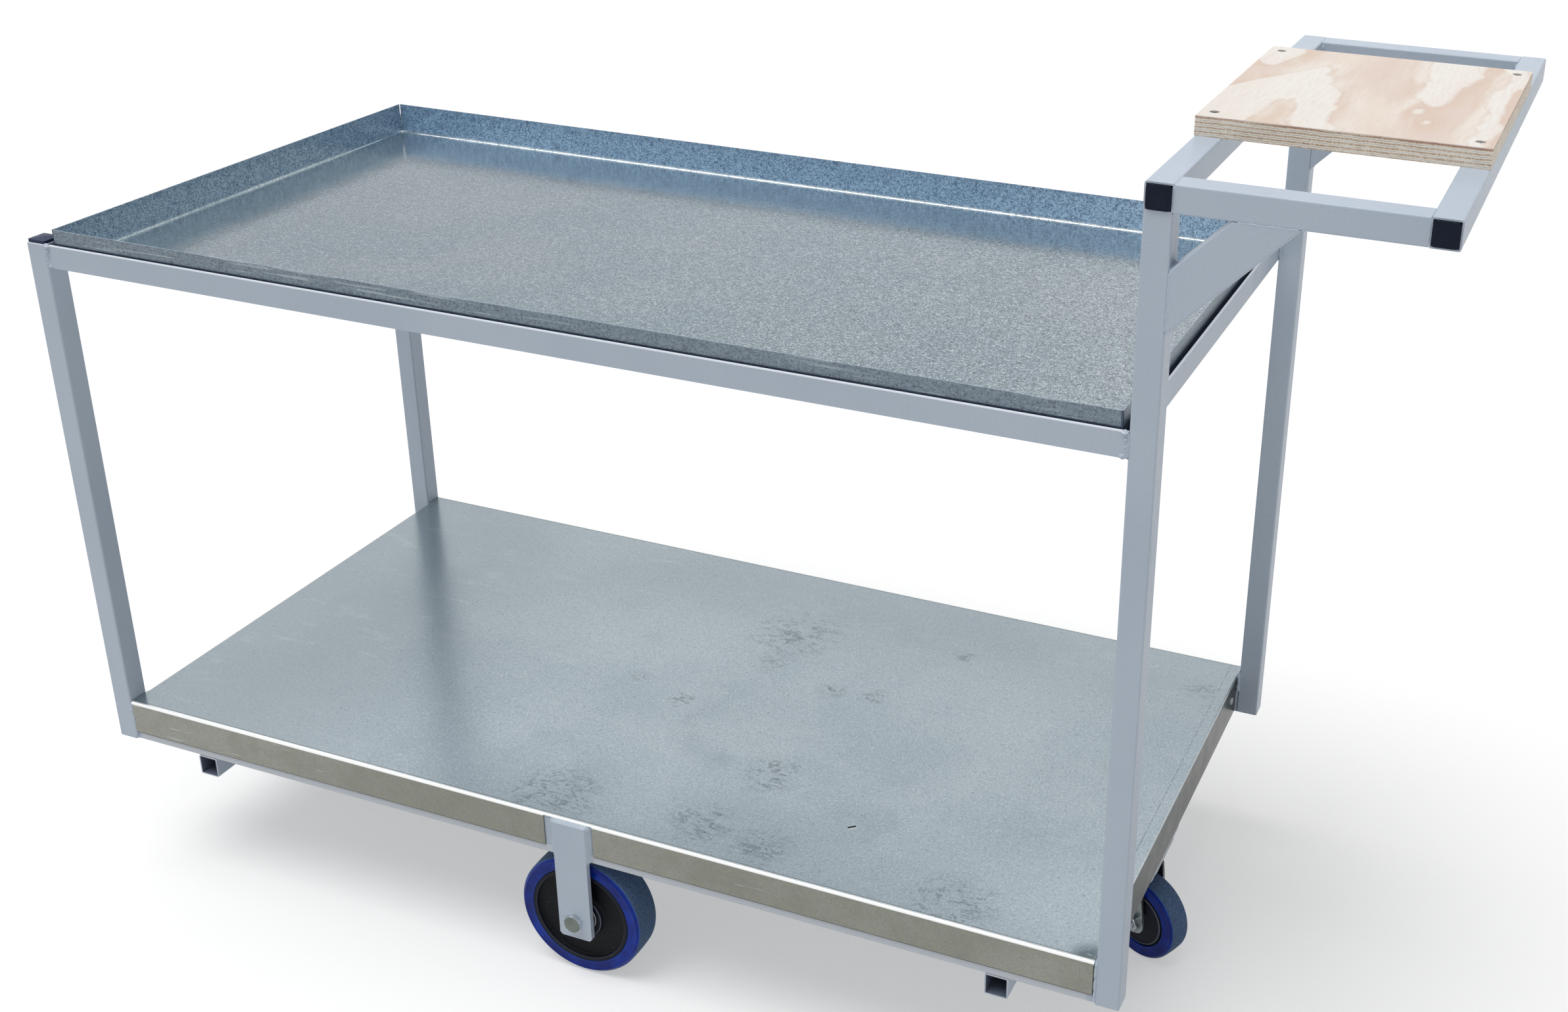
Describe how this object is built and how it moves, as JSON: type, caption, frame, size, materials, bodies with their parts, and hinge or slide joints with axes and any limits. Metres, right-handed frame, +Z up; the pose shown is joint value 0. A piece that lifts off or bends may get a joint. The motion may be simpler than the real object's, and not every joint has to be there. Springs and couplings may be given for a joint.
{
  "type": "two-tier platform trolley",
  "caption": "Welded workshop trolley with a folded sheet deck below, a loose sheet tray above, a raised push handle with a plywood shelf, centre wheels and end castors.",
  "frame": {"origin": "on the floor, midway between the outermost ends along X and in the middle of the width", "axes": "+X along the trolley towards the push handle, +Y across it, +Z up"},
  "size_m": [1.464, 0.6226, 1.006],
  "materials": {
    "frame_paint": "light blue-grey powder coat",
    "galvanised_sheet": "galvanised sheet with fine spangle",
    "zinc_plated": "bright zinc plating",
    "black_plastic": "black moulded plastic",
    "dark_nylon": "black nylon",
    "blue_rubber": "blue elastic rubber, scuffed on the tread",
    "plywood": "raw plywood"
  },
  "bodies": {
    "frame": {"post_front_left": "frame_paint", "post_back_left": "frame_paint", "post_front_right": "frame_paint", "post_back_right": "frame_paint", "rail_front": "frame_paint", "rail_back": "frame_paint", "end_rail_left": "frame_paint", "end_rail_right": "frame_paint", "mid_bearer_left": "frame_paint", "mid_bearer_right": "frame_paint", "castor_bearer_left": "frame_paint", "castor_bearer_right": "frame_paint", "packer_left": "frame_paint", "packer_right": "frame_paint", "angle_front": "frame_paint", "angle_back": "frame_paint", "angle_left": "frame_paint", "angle_right": "frame_paint", "handle_tube": "frame_paint", "push_bar": "frame_paint", "handle_side_front": "frame_paint", "handle_side_back": "frame_paint", "brace_front": "frame_paint", "brace_back": "frame_paint", "hanger_outer_front": "frame_paint", "hanger_inner_front": "frame_paint", "hanger_outer_back": "frame_paint", "hanger_inner_back": "frame_paint", "mount_plates": "frame_paint", "post_caps": "black_plastic", "handle_caps": "black_plastic", "deck": "galvanised_sheet", "deck_rivets": "zinc_plated", "board_screws": "zinc_plated", "axle_bolts": "zinc_plated", "axle_nuts": "zinc_plated", "axle_sleeves": "zinc_plated", "axle_spacers": "zinc_plated", "castor_bolts": "zinc_plated", "castor_plate_left": "zinc_plated", "castor_plate_right": "zinc_plated", "kingpins": "zinc_plated", "board": "plywood"},
    "tray": {"tray": "galvanised_sheet"},
    "wheel_front": {"core_front": "dark_nylon", "tyre_front": "blue_rubber", "bearings_front": "zinc_plated"},
    "wheel_back": {"core_back": "dark_nylon", "tyre_back": "blue_rubber", "bearings_back": "zinc_plated"},
    "castor_left": {"fork_left": "zinc_plated", "castor_axle_left": "zinc_plated", "castor_nut_left": "zinc_plated"},
    "castor_right": {"fork_right": "zinc_plated", "castor_axle_right": "zinc_plated", "castor_nut_right": "zinc_plated"},
    "castor_wheel_left": {"castor_core_left": "dark_nylon", "castor_tyre_left": "blue_rubber"},
    "castor_wheel_right": {"castor_core_right": "dark_nylon", "castor_tyre_right": "blue_rubber"}
  },
  "joints": [
    {"name": "tray_lift", "type": "slide", "parent": "frame", "child": "tray", "axis": [0, 0, 1], "range_m": [0, 0.12]},
    {"name": "wheel_front_spin", "type": "hinge", "parent": "frame", "child": "wheel_front", "pos_m": [-0.11, -0.2745, 0.075], "axis": [0, 1, 0], "continuous": true},
    {"name": "wheel_back_spin", "type": "hinge", "parent": "frame", "child": "wheel_back", "pos_m": [-0.11, 0.2745, 0.075], "axis": [0, 1, 0], "continuous": true},
    {"name": "castor_left_swivel", "type": "hinge", "parent": "frame", "child": "castor_left", "pos_m": [-0.65, 0, 0.115], "axis": [0, 0, 1], "continuous": true},
    {"name": "castor_right_swivel", "type": "hinge", "parent": "frame", "child": "castor_right", "pos_m": [0.424, 0, 0.115], "axis": [0, 0, 1], "continuous": true},
    {"name": "castor_left_spin", "type": "hinge", "parent": "castor_left", "child": "castor_wheel_left", "pos_m": [-0.6154, -0.00992, 0.05], "axis": [0.2756, 0.9613, 0], "continuous": true},
    {"name": "castor_right_spin", "type": "hinge", "parent": "castor_right", "child": "castor_wheel_right", "pos_m": [0.45696, -0.01447, 0.05], "axis": [0.4019, 0.9157, 0], "continuous": true}
  ]
}
